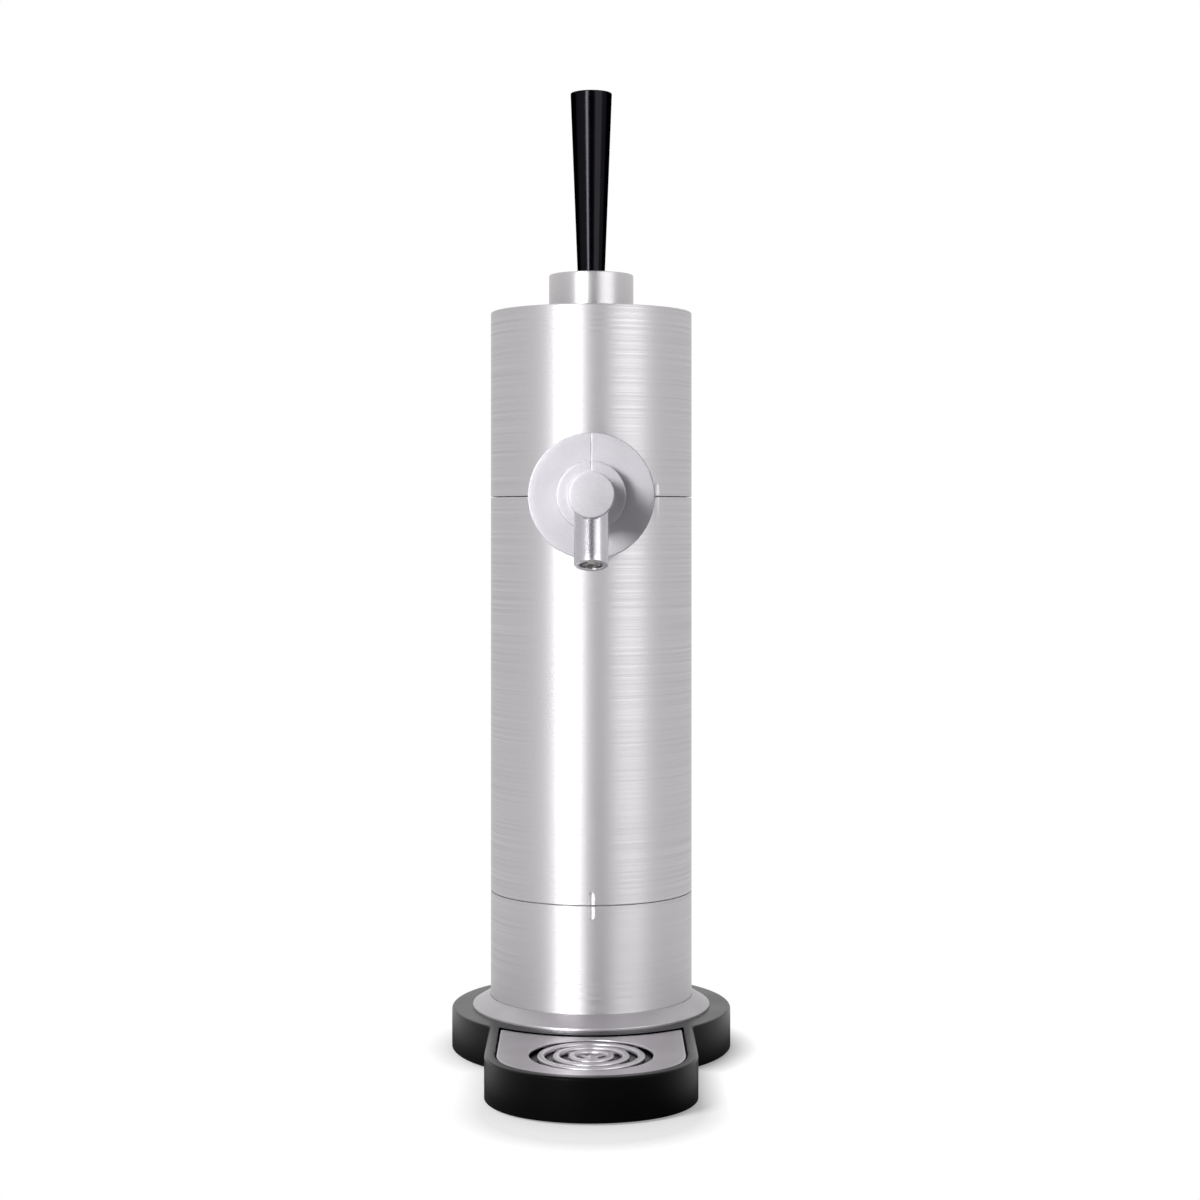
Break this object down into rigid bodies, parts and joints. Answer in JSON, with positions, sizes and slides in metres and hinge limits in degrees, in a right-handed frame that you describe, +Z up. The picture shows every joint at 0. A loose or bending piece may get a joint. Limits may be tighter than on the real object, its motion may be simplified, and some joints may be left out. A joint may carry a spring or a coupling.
{
  "type": "canned beer dispenser",
  "caption": "Upright countertop dispenser that holds a drink can in an insulated metal column, with a pump lever on top, a turning tap at the front and a drip tray at the foot.",
  "frame": {"origin": "on the axis of the round column, at the floor that the rubber feet stand on", "axes": "+Z up along the column, -Y forward towards the tap and the drip tray, +X to the right when seen from the front"},
  "size_m": [0.1246, 0.1925, 0.4272],
  "materials": {
    "brushed_aluminium": "brushed round the column",
    "silver_paint": "satin",
    "satin_cast": "satin cast",
    "black_plastic": "satin",
    "black_gloss": "polished",
    "black_rubber": "matt",
    "seal_rubber": "matt",
    "zinc_steel": "zinc plated",
    "white_plastic": "fine matt",
    "pump_plastic": "fine matt",
    "clear_hose": "translucent",
    "gel_pack": "soft",
    "board_green": "solder mask",
    "contact_brass": "plated"
  },
  "bodies": {
    "base": {"base_housing": "black_plastic", "base_plate": "black_plastic", "rubber_feet": "black_rubber", "base_screws": "zinc_steel", "ballast_plate": "zinc_steel", "trim_ring": "silver_paint", "foot_tube": "brushed_aluminium", "foot_frame": "white_plastic", "foot_screws": "zinc_steel", "can_pad": "black_rubber", "lower_lock_ring": "white_plastic", "lower_seal": "seal_rubber"},
    "drip_tray": {"drip_tray": "black_plastic"},
    "drip_grille": {"drip_grille": "silver_paint"},
    "can_sleeve": {"sleeve_tube": "brushed_aluminium", "sleeve_liner": "white_plastic", "cold_pack_left": "gel_pack", "cold_pack_right": "gel_pack"},
    "head": {"head_shell": "brushed_aluminium", "head_cap": "brushed_aluminium", "head_frame": "white_plastic", "frame_screws": "zinc_steel", "spigot_seal": "seal_rubber", "collar": "brushed_aluminium", "collar_bezel": "black_plastic", "lever_bracket": "zinc_steel", "pivot_pin": "zinc_steel", "return_spring": "zinc_steel", "battery_holder": "black_plastic", "battery_contacts": "contact_brass", "lid_hinge_pin": "zinc_steel", "pump_motor": "zinc_steel", "pump_head": "pump_plastic", "inlet_hose": "clear_hose", "outlet_hose": "clear_hose", "draw_tube": "white_plastic", "tube_gland": "seal_rubber", "circuit_board": "board_green", "switch_housing": "black_plastic", "escutcheon": "satin_cast", "escutcheon_nut": "zinc_steel", "outlet_block": "white_plastic", "foam_transducer": "contact_brass"},
    "battery_lid": {"battery_lid": "white_plastic"},
    "switch_slider": {"switch_slider": "white_plastic"},
    "lever": {"lever_stem": "zinc_steel", "lever_handle": "black_gloss"},
    "tap": {"tap_body": "satin_cast", "spout_tube": "satin_cast", "flow_straightener": "white_plastic", "tap_seal": "seal_rubber"}
  },
  "joints": [
    {"name": "tray_lift", "type": "slide", "parent": "base", "child": "drip_tray", "axis": [0, 0, 1], "range_m": [0, 0.05]},
    {"name": "grille_lift", "type": "slide", "parent": "drip_tray", "child": "drip_grille", "axis": [0, 0, 1], "range_m": [0, 0.03]},
    {"name": "sleeve_twist", "type": "hinge", "parent": "base", "child": "can_sleeve", "pos_m": [0, 0, 0.0705], "axis": [0, 0, 1], "range_deg": [0, 25]},
    {"name": "head_lift", "type": "slide", "parent": "can_sleeve", "child": "head", "axis": [0, 0, 1], "range_m": [0, 0.18]},
    {"name": "lid_open", "type": "hinge", "parent": "head", "child": "battery_lid", "pos_m": [0, 0.0002, 0.2446], "axis": [-1, 0, 0], "range_deg": [0, 90]},
    {"name": "lever_tilt", "type": "hinge", "parent": "head", "child": "lever", "pos_m": [0, 0, 0.321], "axis": [1, 0, 0], "range_deg": [-15, 15], "stiffness_Nm_per_rad": 0.6},
    {"name": "switch_slide", "type": "slide", "parent": "head", "child": "switch_slider", "axis": [0, 1, 0], "range_m": [-0.0034, 0.0034]},
    {"name": "tap_twist", "type": "hinge", "parent": "head", "child": "tap", "pos_m": [0, -0.0485, 0.246], "axis": [0, -1, 0], "range_deg": [0, 60]}
  ],
  "couplings": [
    {"joint": "switch_slide", "follows": "lever_tilt", "m_per_rad": 0.012}
  ]
}
